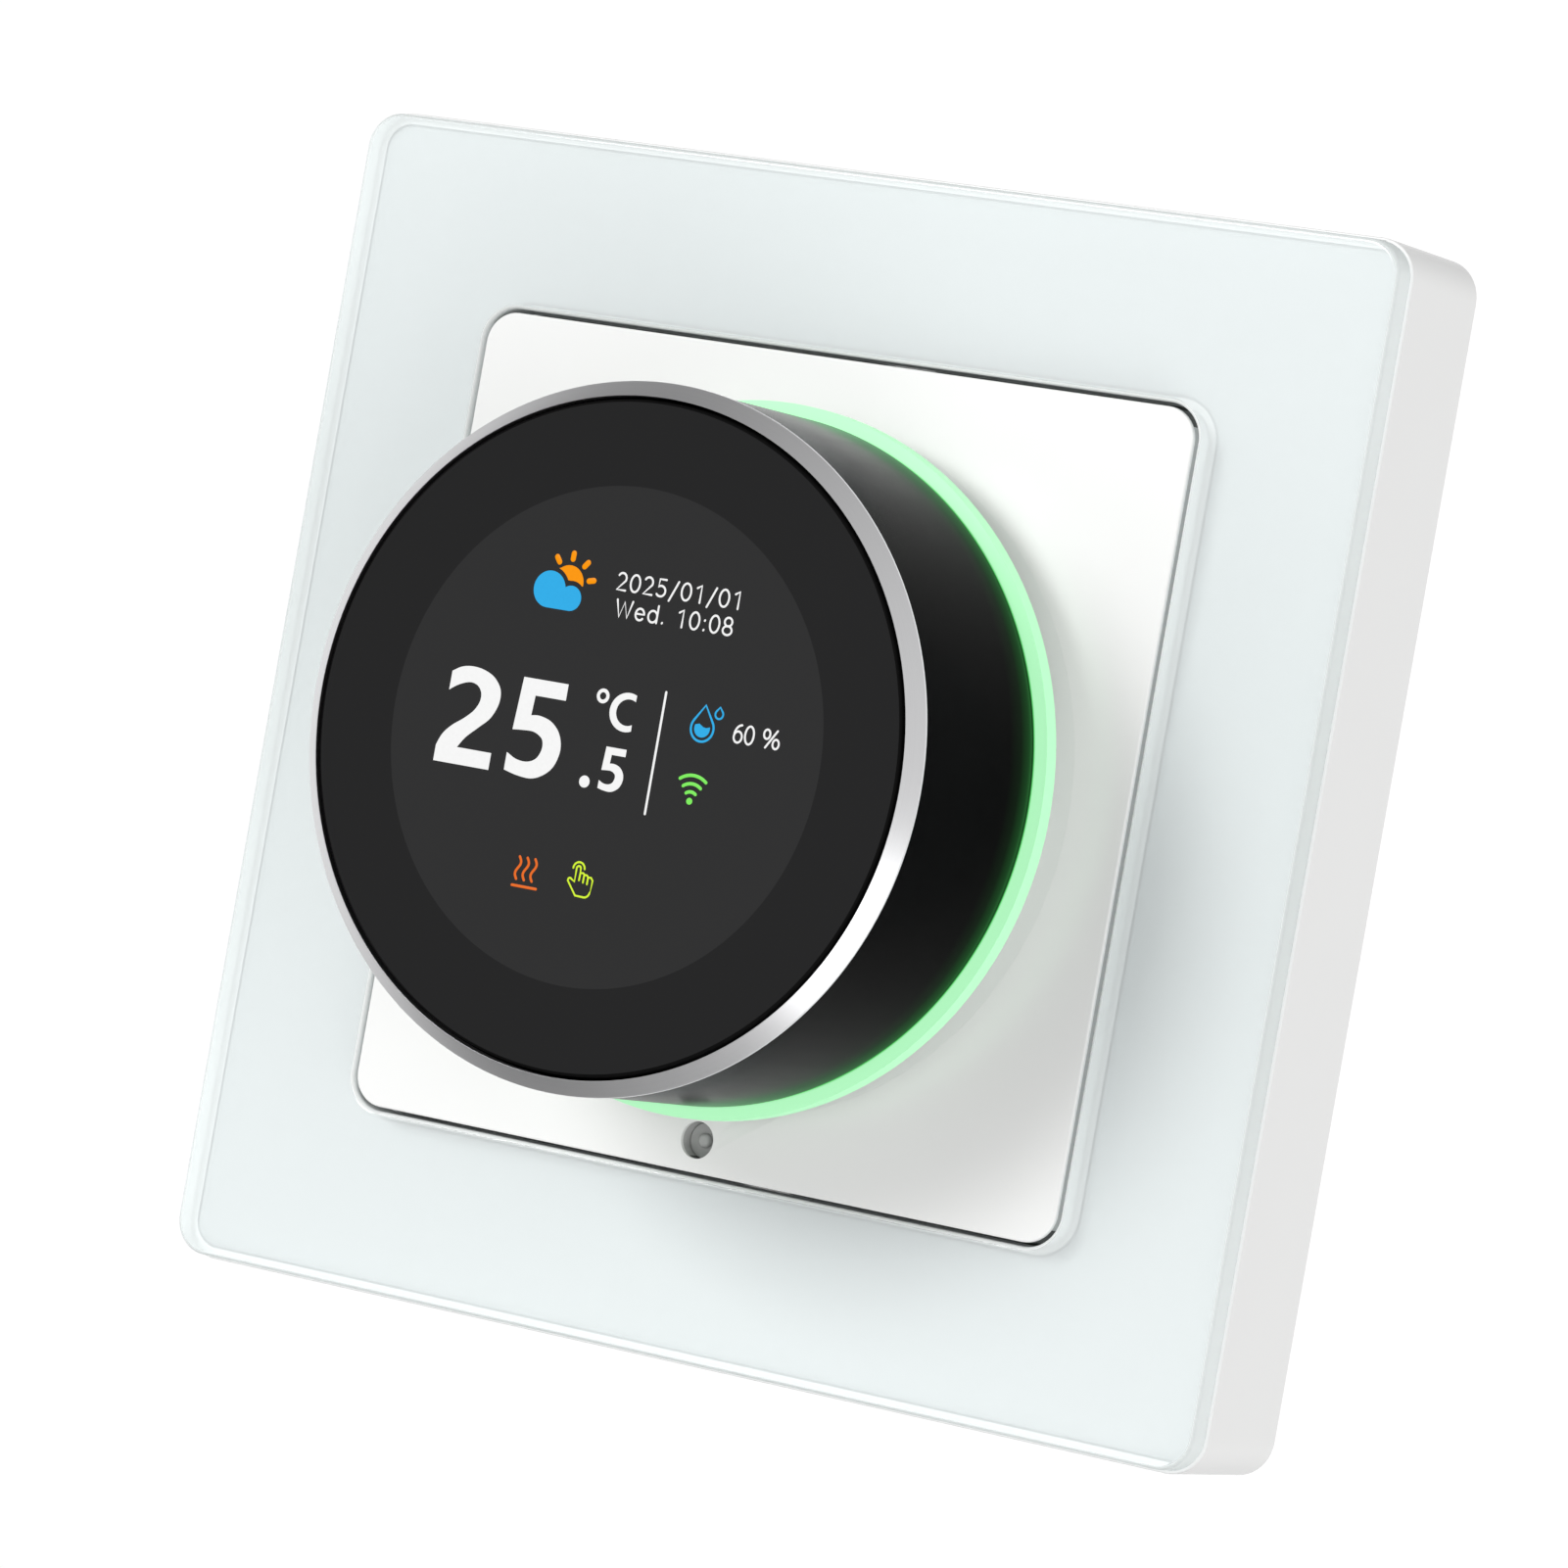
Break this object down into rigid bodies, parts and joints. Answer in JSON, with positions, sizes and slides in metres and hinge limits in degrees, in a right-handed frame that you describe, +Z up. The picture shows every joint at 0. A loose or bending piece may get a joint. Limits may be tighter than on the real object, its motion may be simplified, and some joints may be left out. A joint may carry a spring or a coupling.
{
  "type": "wall thermostat",
  "caption": "Flush wall thermostat: square glass frame, white insert, round display inside a turning and pressing knob over a lit ring, with yoke and boxed power unit behind.",
  "frame": {"origin": "middle of the wall plane, at the centre of the wall screw slots", "axes": "+Z up, +X to the right seen from the room, +Y into the wall, front faces -Y"},
  "size_m": [0.0804, 0.0578, 0.0804],
  "materials": {
    "glass_clear": "polished clear glass",
    "film_white": "white printed film",
    "shell_white": "glossy white moulding",
    "glow_green": "frosted light guide, lit green",
    "lens_smoke": "smoked glossy lens",
    "display_dark": "dark display glass",
    "skirt_black": "piano black",
    "bezel_silver": "satin turned aluminium",
    "hub_black": "black moulding",
    "gear_natural": "natural acetal",
    "board_green": "solder resist",
    "part_black": "black moulding",
    "led_pale": "pale resin",
    "sensor_grey": "dark resin bead",
    "cable_amber": "amber film",
    "steel_plated": "zinc plated steel",
    "steel_spring": "spring steel",
    "housing_grey": "flame retardant moulding",
    "relay_blue": "blue moulded case",
    "ferrite": "ferrite",
    "coil_tape": "yellow tape",
    "can_black": "sleeved can",
    "terminal_green": "moulded terminal block",
    "brass_clamp": "brass"
  },
  "bodies": {
    "wall_unit": {"glass_panel": "glass_clear", "panel_film": "film_white", "frame_base": "shell_white", "insert_cover": "shell_white", "light_ring": "glow_green", "return_spring": "steel_spring", "switch_body": "part_black", "front_board": "board_green", "board_screws": "steel_plated", "ring_leds": "led_pale", "room_sensor": "sensor_grey", "display_cable": "cable_amber", "cable_socket": "part_black", "pin_plug": "part_black", "pin_socket": "part_black", "support_yoke": "steel_plated", "rear_housing": "housing_grey", "unit_screws": "steel_plated", "unit_lid": "housing_grey", "power_board": "board_green", "relay": "relay_blue", "transformer_core": "ferrite", "transformer_coil": "coil_tape", "capacitor": "can_black", "terminal_block": "terminal_green", "terminal_clamps": "brass_clamp", "terminal_screws": "steel_plated"},
    "head": {"head_carriage": "hub_black", "display_lens": "lens_smoke", "display_panel": "display_dark", "display_board": "board_green", "encoder_body": "part_black", "dial_clip": "steel_spring", "stem_washer": "steel_spring"},
    "dial": {"knob_skirt": "skirt_black", "knob_bezel": "bezel_silver", "ring_gear": "gear_natural"},
    "pinion": {"encoder_pinion": "gear_natural"},
    "plunger": {"switch_plunger": "gear_natural"}
  },
  "joints": [
    {"name": "head_press", "type": "slide", "parent": "wall_unit", "child": "head", "axis": [0, 1, 0], "range_m": [0, 0.0003], "stiffness_N_per_m": 2000, "deforming": ["return_spring", "display_cable"]},
    {"name": "dial_turn", "type": "hinge", "parent": "head", "child": "dial", "pos_m": [0, -0.02, 0], "axis": [0, 1, 0], "continuous": true},
    {"name": "pinion_turn", "type": "hinge", "parent": "head", "child": "pinion", "pos_m": [0.0135, -0.02, 0], "axis": [0, 1, 0], "continuous": true},
    {"name": "plunger_press", "type": "slide", "parent": "wall_unit", "child": "plunger", "axis": [0, 1, 0], "range_m": [0, 0.0003]}
  ],
  "couplings": [
    {"joint": "pinion_turn", "follows": "dial_turn", "ratio": 4},
    {"joint": "plunger_press", "follows": "head_press", "ratio": 1}
  ]
}
